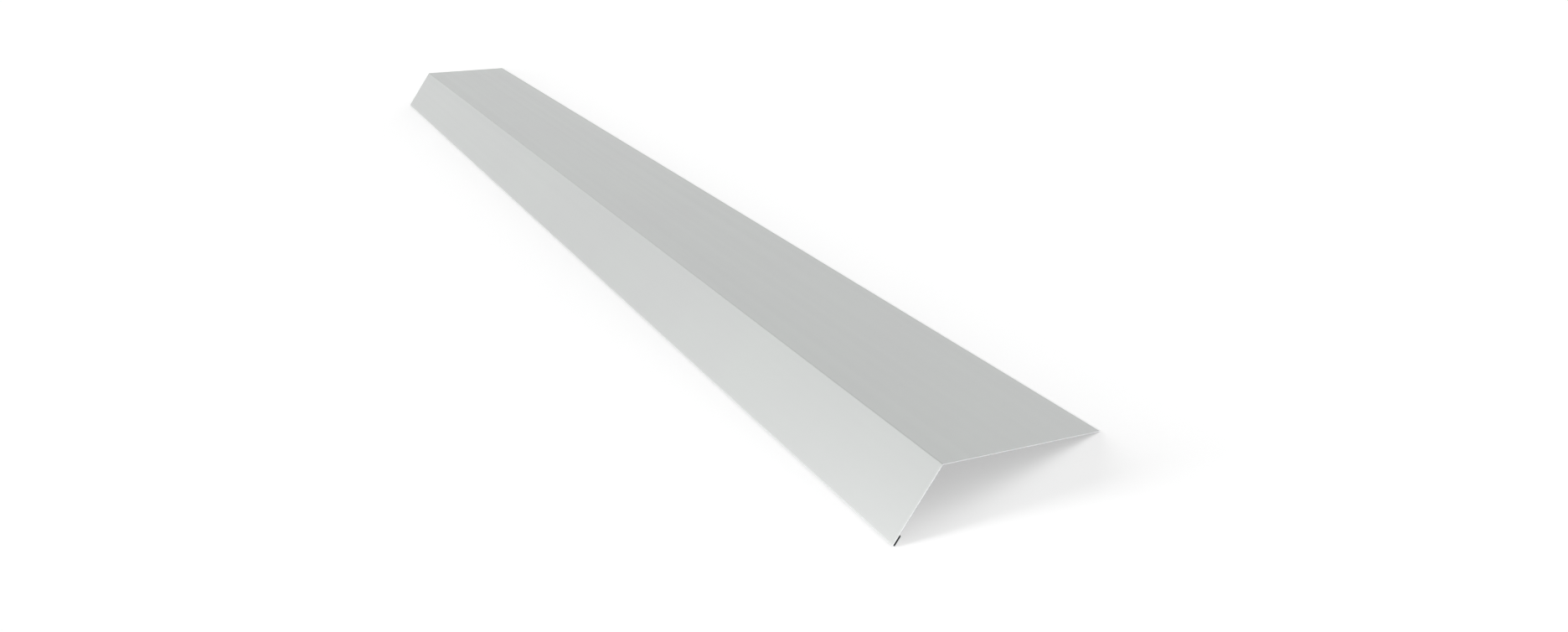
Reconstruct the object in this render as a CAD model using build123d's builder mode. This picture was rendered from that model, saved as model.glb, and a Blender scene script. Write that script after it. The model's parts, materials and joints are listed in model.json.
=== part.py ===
from build123d import *
import os
from math import asin, atan2, cos, degrees, radians, sin, tan

# Eaves flashing: one strip of coated steel, folded once along its length into a roof flange
# and a drip flange, with the drip edge turned back on itself as an open hem.
# It lies as it comes to rest on a level floor, like a shallow tent, on the hem and on the roof
# flange's sheared edge. X runs along the eaves, -Y is the weather side and +Z is up.
# The origin is on the floor, at the middle of the box that the strip fills.

# Driving dimensions, in millimetres and degrees
length = 2000.0      # along the eaves
roof_flange = 150.0  # face width, from the fold's sharp corner to the sheared edge
drip_flange = 75.0   # face width, from the fold's sharp corner to the bottom of the hem
roof_pitch = 35.0    # slope of the roof on which the drip flange hangs plumb
sheet = 0.5          # thickness of the coated steel
fold_radius = 0.5    # inside radius of the fold between the flanges
hem_width = 10.0     # from the bottom of the hem to the sheared edge of its return
hem_gap = 1.5        # clear gap inside the hem, between the drip flange and its return

# The section is drawn along the sheet's weather face, from the roof flange's sheared edge
# round to the hem's, and its bends turn through these radii and this angle
bend_angle = 90 - roof_pitch
fold_face_radius = fold_radius + sheet
hem_face_radius = hem_gap / 2 + sheet
fold_setback = fold_face_radius * tan(radians(bend_angle / 2))

# The floor touches the round of the hem and the lower corner of the roof flange's sheared edge,
# seen in the section's own axes, with the fold's sharp corner as zero and the flange along +X
drip_heading = Vector(-1, 0).rotate(Axis.Z, bend_angle)
hem_centre = drip_heading * (drip_flange - hem_face_radius)
hem_centre += drip_heading.rotate(Axis.Z, 90) * hem_face_radius
sheared_corner = Vector(roof_flange, -sheet)
footing = sheared_corner - hem_centre
lay_angle = atan2(footing.Y, footing.X) + asin(hem_face_radius / footing.length)

# The roof flange falls towards +Y by that angle, which sets the fold's place over the floor
down_the_flange = Vector(0, cos(lay_angle), -sin(lay_angle))
off_the_face = Vector(0, sin(lay_angle), cos(lay_angle))
rear_reach = roof_flange * down_the_flange.Y
front_reach = hem_face_radius - hem_centre.X * down_the_flange.Y - hem_centre.Y * off_the_face.Y
fold_corner = Vector(
    0,
    (front_reach - rear_reach) / 2,
    -sheared_corner.X * down_the_flange.Z - sheared_corner.Y * off_the_face.Z,
)
section_plane = Plane(origin=fold_corner, x_dir=down_the_flange, z_dir=(1, 0, 0))

# The strip, with its face line thickened inwards by the sheet
with BuildPart() as flashing:
    with BuildSketch(section_plane):
        with BuildLine():
            roof_face = Line((roof_flange, 0), (fold_setback, 0))
            fold = JernArc(roof_face @ 1, roof_face % 1, fold_face_radius, bend_angle)
            drip_face = PolarLine(
                fold @ 1, drip_flange - fold_setback - hem_face_radius, direction=fold % 1
            )
            hem = JernArc(drip_face @ 1, drip_face % 1, hem_face_radius, 180)
            PolarLine(hem @ 1, hem_width - hem_face_radius, direction=hem % 1)
            offset(amount=sheet, side=Side.LEFT)
        make_face()
    extrude(amount=length / 2, both=True)

flashing.part.label = "eaves_flashing"
os.makedirs("parts", exist_ok=True)
export_step(flashing.part, "parts/eaves_flashing.step")

developed_width = (
    (roof_flange - fold_setback)
    + radians(bend_angle) * fold_face_radius
    + (drip_flange - fold_setback - hem_face_radius)
    + radians(180) * hem_face_radius
    + (hem_width - hem_face_radius)
)
print(f"roof flange falls {degrees(lay_angle):.3f} degrees, face develops to {developed_width:.2f} mm")
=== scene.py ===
import json
from math import atan2, cos, pi, radians, sin, tan

import bmesh
import bpy
from mathutils import Color, Matrix, Vector


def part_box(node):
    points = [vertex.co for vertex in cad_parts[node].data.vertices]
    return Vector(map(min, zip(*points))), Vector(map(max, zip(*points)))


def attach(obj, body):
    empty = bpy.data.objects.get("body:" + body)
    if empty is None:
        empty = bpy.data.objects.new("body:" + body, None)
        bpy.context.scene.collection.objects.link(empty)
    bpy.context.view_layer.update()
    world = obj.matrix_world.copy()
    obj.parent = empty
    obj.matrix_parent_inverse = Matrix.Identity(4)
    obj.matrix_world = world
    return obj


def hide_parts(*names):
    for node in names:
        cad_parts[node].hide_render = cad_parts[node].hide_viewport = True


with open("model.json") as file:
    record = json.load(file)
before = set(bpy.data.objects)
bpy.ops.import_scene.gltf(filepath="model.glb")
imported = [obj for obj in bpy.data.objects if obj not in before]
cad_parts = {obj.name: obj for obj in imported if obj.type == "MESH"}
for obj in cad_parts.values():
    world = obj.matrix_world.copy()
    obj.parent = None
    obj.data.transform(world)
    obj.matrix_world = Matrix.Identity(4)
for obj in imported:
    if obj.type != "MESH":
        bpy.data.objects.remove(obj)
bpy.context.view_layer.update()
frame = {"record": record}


# The strip: one length of coated steel sheet, sheared square and folded once on a folding bench
# into a roof flange and a drip flange. The drip edge is turned back on itself as an open hem,
# which stiffens it and keeps its cut edge out of the weather.
roof_flange = 0.150        # face widths, in metres from the fold's sharp corner
drip_flange = 0.075
sheet = 0.0005
fold_radius = 0.0005       # inside radius
hem_width = 0.010
hem_gap = 0.0015
fold_facets = 14
hem_facets = 24
length_facets = 40
flat_margin = 0.0015       # a narrow facet beside each bend keeps the flats' shading flat
shear_round = 0.00006      # the shear rolls the face over at a cut edge
shear_segments = 2
sharp_from = radians(20)

mounts = {mount["name"]: mount for mount in frame["record"]["mounts"]}
roof_out = Vector(mounts["roof_flange_top"]["axis"])
hem_inwards = Vector(mounts["hem_back"]["axis"])
lay_angle = atan2(roof_out.y, roof_out.z)
bend_angle = roof_out.angle(-hem_inwards)
solid_low, solid_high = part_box("eaves_flashing")
half_length = (solid_high.x - solid_low.x) / 2
fold_face_radius = fold_radius + sheet
hem_face_radius = hem_gap / 2 + sheet
fold_setback = fold_face_radius * tan(bend_angle / 2)

# The section is drawn with the roof flange level and the fold's sharp corner on the X axis. This
# turns it down on to the floor, with its rear corner at the rear of the solid's box.
down_the_flange = Vector((0, cos(lay_angle), -sin(lay_angle)))
on_the_roof_face = Vector(mounts["roof_flange_top"]["pos_m"])
to_the_rear = (solid_high.y - on_the_roof_face.y) / down_the_flange.y
fold_corner = on_the_roof_face + down_the_flange * (to_the_rear - roof_flange)
as_it_lies = Matrix.Translation(fold_corner) @ Matrix.Rotation(-lay_angle, 4, "X")

# Each point keeps how far it is across the flat sheet, from the roof flange's cut edge, and how
# deep it is in the sheet, from 0 on the weather face to 1 on the back
strip = bmesh.new()
across_sheet = strip.verts.layers.float.new("across_sheet")
depth = strip.verts.layers.float.new("depth")
section = bmesh.ops.create_vert(strip, co=(-half_length, roof_flange, 0))["vert"]


def draw_flat(heading, *runs):
    """Draws the section on along heading, with a point at the end of each run."""
    for run in runs:
        section.extend(bmesh.ops.extrude_vert_indiv(strip, verts=section[-1:])["verts"])
        bmesh.ops.translate(strip, verts=section[-1:], vec=heading * run)


def draw_bend(heading, radius, angle, facets):
    """Draws the section on round a bend, away from the weather face, and returns its new heading."""
    inwards = Vector((0, -heading.z, heading.y))
    bmesh.ops.spin(
        strip, geom=section[-1:], cent=section[-1].co + inwards * radius, axis=(1, 0, 0),
        angle=angle, steps=facets, use_duplicate=False,
    )
    strip.verts.ensure_lookup_table()
    section.extend(strip.verts[-facets:])
    return Matrix.Rotation(angle, 3, "X") @ heading


towards_fold = Vector((0, -1, 0))
draw_flat(towards_fold, roof_flange - fold_setback - flat_margin, flat_margin)
down_the_drip = draw_bend(towards_fold, fold_face_radius, bend_angle, fold_facets)
drip_flat = drip_flange - fold_setback - hem_face_radius
draw_flat(down_the_drip, flat_margin, drip_flat - 2 * flat_margin, flat_margin)
up_the_return = draw_bend(down_the_drip, hem_face_radius, pi, hem_facets)
draw_flat(up_the_return, flat_margin, hem_width - hem_face_radius - flat_margin)

for before, point in zip(section, section[1:]):
    point[across_sheet] = before[across_sheet] + (point.co - before.co).length
sheet_width = section[-1][across_sheet]

along_the_strip = Vector((2 * half_length / length_facets, 0, 0))
bmesh.ops.spin(
    strip, geom=strip.verts[:] + strip.edges[:], angle=0, steps=length_facets, dvec=along_the_strip,
    axis=(1, 0, 0), use_duplicate=False,
)
face_side = set(strip.verts)
strip.normal_update()
if max(strip.faces, key=lambda face: face.calc_area()).normal.z < 0:
    bmesh.ops.reverse_faces(strip, faces=strip.faces)
bmesh.ops.solidify(strip, geom=strip.faces[:], thickness=sheet)
bmesh.ops.recalc_face_normals(strip, faces=strip.faces)
for vert in strip.verts:
    vert[depth] = 0.0 if vert in face_side else 1.0

WEATHER_COAT, BACKING_COAT, CUT_STEEL = range(3)
for face in strip.faces:
    depths = {vert[depth] for vert in face.verts}
    if len(depths) > 1:
        face.material_index = CUT_STEEL
    elif 1.0 in depths:
        face.material_index = BACKING_COAT
    else:
        face.material_index = WEATHER_COAT
    face.smooth = True

cut_corners = [
    edge for edge in strip.edges
    if all(vert in face_side for vert in edge.verts)
    and {face.material_index for face in edge.link_faces} == {WEATHER_COAT, CUT_STEEL}
]
bmesh.ops.bevel(
    strip, geom=cut_corners, offset=shear_round, affect="EDGES", segments=shear_segments, profile=0.5,
    material=-1,
)
bmesh.ops.transform(strip, matrix=as_it_lies, verts=strip.verts)

flashing = bpy.data.objects.new("folded_strip", bpy.data.meshes.new("folded_strip"))
bpy.context.scene.collection.objects.link(flashing)
strip.to_mesh(flashing.data)
strip.free()
flashing.data.set_sharp_from_angle(angle=sharp_from)
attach(flashing, "root")
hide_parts("eaves_flashing")


# The weather face has a satin polyester coat, rolled on along the coil. A near-white band is
# painted beside the cuts, the hem's nose is darkened with painted shade, and a faint line of
# painted shade marks where the fold begins.
screen_steps = 255


def seen_as(red, green, blue):
    """A colour given as it looks on a screen, in steps of 255, as Blender's own linear values."""
    on_screen = Color((red / screen_steps, green / screen_steps, blue / screen_steps))
    return (*on_screen.from_srgb_to_scene_linear(), 1)


coat_grey = seen_as(200, 203, 201)
cloud_grey = seen_as(199, 201, 200)
cloud_size = 0.14
streak_grey = seen_as(196, 198, 197)
streak_length = 1.2
streak_width = 0.011
streak_share = 0.2
coat_smoothest = 0.44      # roughness, which varies along the streaks
coat_roughest = 0.52
peel_size = 0.0014         # the fine ripple that a rolled coat dries with
peel_height = 0.00001
peel_strength = 0.3
# Painted shade: a faint dark line in the crease where the fold begins
fold_shade_grey = seen_as(150, 151, 149)
fold_shade_width = 0.0012
fold_shade_share = 0.4
# Painted shade on the hem's nose, which turns down towards the floor
nose_shade_grey = seen_as(176, 178, 177)
# A near-white band painted along the cut edges
edge_white = seen_as(236, 238, 238)
edge_band_width = 0.0006
edge_band_wander = 0.0002
ragged_size = 0.004

# Where the fold begins, where the hem's nose is and where its mouth is, across the flat sheet
fold_across = roof_flange - fold_setback
half_hem = pi / 2 * hem_face_radius
nose_across = sheet_width - (hem_width - hem_face_radius) - half_hem
hem_mouth = 2 * nose_across - sheet_width

noise_low = 0.3            # most of the noise lies between these
noise_high = 0.7
noise_detail = 2.0


def new_finish(name):
    """A new material on the strip's next slot, as its node tree and its shader."""
    finish = bpy.data.materials.new(name)
    finish.use_nodes = True
    flashing.data.materials.append(finish)
    return finish.node_tree, finish.node_tree.nodes["Principled BSDF"]


def add_node(tree, kind, inputs, **settings):
    """Adds a node and returns it. An input is a value, or an output that is linked to it."""
    node = tree.nodes.new("ShaderNode" + kind)
    for name, value in settings.items():
        setattr(node, name, value)
    for name, value in inputs.items():
        if isinstance(value, bpy.types.NodeSocket):
            tree.links.new(value, node.inputs[name])
        else:
            node.inputs[name].default_value = value
    return node


def work_out(tree, operation, first, second=0.0):
    """The result of one sum on one or two values."""
    return add_node(tree, "Math", {0: first, 1: second}, operation=operation).outputs[0]


def how_far(tree, place, other):
    """The distance between two places, whichever comes first."""
    return work_out(tree, "ABSOLUTE", work_out(tree, "SUBTRACT", place, other))


def fade(tree, value, begins, ends, first, last):
    """Goes from first, where value is at begins, to last, where it is at ends."""
    limits = {"Value": value, "From Min": begins, "From Max": ends, "To Min": first, "To Max": last}
    return add_node(tree, "MapRange", limits).outputs["Result"]


def blend_colours(tree, share, plain, other):
    """The plain colour, with a share of the other one over it."""
    return add_node(tree, "MixRGB", {"Fac": share, "Color1": plain, "Color2": other}).outputs["Color"]


def kept_value(tree, name):
    """What each point of the strip keeps under a name."""
    return add_node(tree, "Attribute", {}, attribute_name=name).outputs["Fac"]


def place_on(tree):
    """The place on the strip, in the object's own axes."""
    return add_node(tree, "TexCoord", {}).outputs["Object"]


def patches(tree, long, wide, low, high):
    """Soft random patches of a size along and across the strip, with values from low to high."""
    size = {"Vector": place_on(tree), "Scale": (1 / long, 1 / wide, 1 / wide)}
    stretched_place = add_node(tree, "Mapping", size).outputs["Vector"]
    grain = {"Vector": stretched_place, "Scale": 1.0, "Detail": noise_detail}
    noise = add_node(tree, "TexNoise", grain).outputs["Fac"]
    return fade(tree, noise, noise_low, noise_high, low, high)


tree, coat = new_finish("weather_coat")
across = kept_value(tree, "across_sheet")
along = add_node(tree, "SeparateXYZ", {"Vector": place_on(tree)}).outputs["X"]
clouds = patches(tree, cloud_size, cloud_size, 0.0, 1.0)
coat_colour = blend_colours(tree, clouds, coat_grey, cloud_grey)
streaks = patches(tree, streak_length, streak_width, 0.0, streak_share)
coat_colour = blend_colours(tree, streaks, coat_colour, streak_grey)

# Painted shade: a faint dark line along the start of the fold
fold_shaded = fade(tree, how_far(tree, across, fold_across), 0.0, fold_shade_width / 2, fold_shade_share, 0.0)
coat_colour = blend_colours(tree, fold_shaded, coat_colour, fold_shade_grey)
# Painted shade: the coat is darkened over the hem's nose
nose_shaded = fade(tree, how_far(tree, across, nose_across), 0.0, half_hem, 1.0, 0.0)
coat_colour = blend_colours(tree, nose_shaded, coat_colour, nose_shade_grey)

# A near-white band is painted along every cut edge, with a ragged inner line
from_end = work_out(tree, "SUBTRACT", half_length, work_out(tree, "ABSOLUTE", along))
from_side = work_out(tree, "MINIMUM", across, work_out(tree, "SUBTRACT", sheet_width, across))
from_cut = work_out(tree, "MINIMUM", from_end, from_side)
ragged = patches(tree, ragged_size, ragged_size, -edge_band_wander, edge_band_wander)
ragged_from_cut = work_out(tree, "ADD", from_cut, ragged)
edge_band = fade(tree, ragged_from_cut, edge_band_width - edge_band_wander, edge_band_width + edge_band_wander, 1.0, 0.0)
coat_colour = blend_colours(tree, edge_band, coat_colour, edge_white)

tree.links.new(coat_colour, coat.inputs["Base Color"])
coat_roughness = patches(tree, streak_length, streak_width, coat_smoothest, coat_roughest)
tree.links.new(coat_roughness, coat.inputs["Roughness"])
ripple = patches(tree, peel_size, peel_size, 0.0, 1.0)
peel = {"Height": ripple, "Strength": peel_strength, "Distance": peel_height}
tree.links.new(add_node(tree, "Bump", peel).outputs["Normal"], coat.inputs["Normal"])


# The back has a thin grey lacquer, which shows more of the zinc under it in streaks. Inside the hem
# it is painted dark, as painted shade for the hem's narrow slot.
lacquer_grey = seen_as(172, 174, 172)
thin_grey = seen_as(158, 161, 160)
thin_length = 0.7
thin_width = 0.007
lacquer_smoothest = 0.42   # roughness, which varies along the streaks
lacquer_roughest = 0.54
# Painted shade inside the hem's narrow slot
hem_shade_dark = seen_as(70, 71, 71)
hem_shade_fade = 0.0015

tree, backing = new_finish("backing_coat")
across = kept_value(tree, "across_sheet")
thinned = patches(tree, thin_length, thin_width, 0.0, 1.0)
backing_colour = blend_colours(tree, thinned, lacquer_grey, thin_grey)
# Painted shade: the back is darkened inside the hem, from its mouth inwards
hem_shaded = fade(tree, across, hem_mouth - hem_shade_fade, hem_mouth, 0.0, 1.0)
backing_colour = blend_colours(tree, hem_shaded, backing_colour, hem_shade_dark)
tree.links.new(backing_colour, backing.inputs["Base Color"])
backing_roughness = patches(tree, thin_length, thin_width, lacquer_smoothest, lacquer_roughest)
tree.links.new(backing_roughness, backing.inputs["Roughness"])


# The cuts are bare steel, as the shear leaves them: burnished where its blade went in from the
# weather face, and torn below that, along an uneven line.
burnished_grey = seen_as(226, 228, 230)
burnished_roughness = 0.28
torn_grey = seen_as(196, 198, 200)
torn_roughness = 0.55
tear_depth = 0.42          # as a share of the sheet, like the two that follow
tear_blur = 0.04
tear_wander = 0.08
tear_size = 0.0011

tree, steel = new_finish("cut_steel")
uneven = patches(tree, tear_size, tear_size, -tear_wander, tear_wander)
into_sheet = work_out(tree, "ADD", kept_value(tree, "depth"), uneven)
torn = fade(tree, into_sheet, tear_depth - tear_blur, tear_depth + tear_blur, 0.0, 1.0)
tree.links.new(blend_colours(tree, torn, burnished_grey, torn_grey), steel.inputs["Base Color"])
steel_roughness = fade(tree, torn, 0.0, 1.0, burnished_roughness, torn_roughness)
tree.links.new(steel_roughness, steel.inputs["Roughness"])
steel.inputs["Metallic"].default_value = 1.0


# The floor: a plain pale studio floor. It holds the strip's shadow, and the camera sees it white
# where nothing shades it.
floor_reach = 40.0
floor_grey = 0.69
floor_glow = 0.47          # only where it is looked at, directly or in a reflection

sweep = bmesh.new()
bmesh.ops.create_grid(sweep, x_segments=1, y_segments=1, size=floor_reach)
floor = bpy.data.objects.new("floor", bpy.data.meshes.new("floor"))
bpy.context.scene.collection.objects.link(floor)
sweep.to_mesh(floor.data)
sweep.free()

floor_paint = bpy.data.materials.new("floor_paint")
floor_paint.use_nodes = True
floor.data.materials.append(floor_paint)
tree = floor_paint.node_tree
tree.nodes.clear()


def seen_directly(tree):
    """1 for what the camera, a reflection or a clear piece looks at, and 0 for what light falls on."""
    path = add_node(tree, "LightPath", {}).outputs
    looked_at = work_out(tree, "MAXIMUM", path["Is Camera Ray"], path["Is Glossy Ray"])
    return work_out(tree, "MAXIMUM", looked_at, path["Is Transmission Ray"])


matt_colour = (floor_grey, floor_grey, floor_grey, 1)
matt = add_node(tree, "BsdfDiffuse", {"Color": matt_colour}).outputs["BSDF"]
glow_strength = work_out(tree, "MULTIPLY", seen_directly(tree), floor_glow)
glow = add_node(tree, "Emission", {"Strength": glow_strength}).outputs["Emission"]
both = add_node(tree, "AddShader", {0: matt, 1: glow}).outputs["Shader"]
add_node(tree, "OutputMaterial", {"Surface": both})


# The light: a white room with two soft windows, one low over the drip side at the far end and a wide
# one behind the roof flange. A light bar low over the floor nears the drip edge at the near end.
room_white = (1, 1, 1, 1)
room_strength = 0.14
side_strength = 3.1
side_bearing = radians(32)     # from the drip side, turned towards the far end
side_height = radians(15)
side_spread = radians(18)
rear_strength = 3.3
rear_bearing = radians(190)
rear_height = radians(20)
rear_spread = radians(90)
bar_power = 0.18               # watts
bar_length = 0.8
bar_width = 0.03
bar_place = Vector((0.80, -0.26, 0.025))
bar_turn = radians(16)


def add_light(name, kind, place, heading, energy):
    """A light at a place that shines along heading."""
    light = bpy.data.objects.new(name, bpy.data.lights.new(name, kind))
    light.location = place
    light.rotation_euler = heading.to_track_quat("-Z", "Y").to_euler()
    light.data.energy = energy
    bpy.context.scene.collection.objects.link(light)
    return light.data


def add_window(name, strength, bearing, height, spread):
    """A soft light from far off."""
    level = Vector((sin(bearing), cos(bearing), 0)) * cos(height)
    window = add_light(name, "SUN", Vector(), level - Vector((0, 0, sin(height))), strength)
    window.angle = spread


room = bpy.data.worlds.new("room")
room.use_nodes = True
bpy.context.scene.world = room
tree = room.node_tree
brightness = fade(tree, seen_directly(tree), 0.0, 1.0, room_strength, 1.0)
tree.links.new(brightness, tree.nodes["Background"].inputs["Strength"])
tree.nodes["Background"].inputs["Color"].default_value = room_white

add_window("side_window", side_strength, side_bearing, side_height, side_spread)
add_window("rear_window", rear_strength, rear_bearing, rear_height, rear_spread)
bar = add_light("bar", "AREA", bar_place, Vector((-sin(bar_turn), cos(bar_turn), 0)), bar_power)
bar.shape = "RECTANGLE"
bar.size = bar_length
bar.size_y = bar_width


# The camera: above the drip side, beyond the near end. It is placed over the strip with its roof
# flange level, and turned down with it.
camera_lens = 31.59        # millimetres, on a sensor 36 mm wide
camera_place = Vector((1.828, -0.520, 0.466))
camera_aim = Vector((0.6344, 0.0333, 0))
camera_nearest = 0.01

camera = bpy.data.objects.new("camera", bpy.data.cameras.new("camera"))
camera.data.lens = camera_lens
camera.data.clip_start = camera_nearest
bpy.context.scene.collection.objects.link(camera)
looking = (camera_aim - camera_place).to_track_quat("-Z", "Y").to_matrix().to_4x4()
camera.matrix_world = as_it_lies @ Matrix.Translation(camera_place) @ looking
bpy.context.scene.camera = camera
bpy.context.scene.view_settings.view_transform = "Standard"
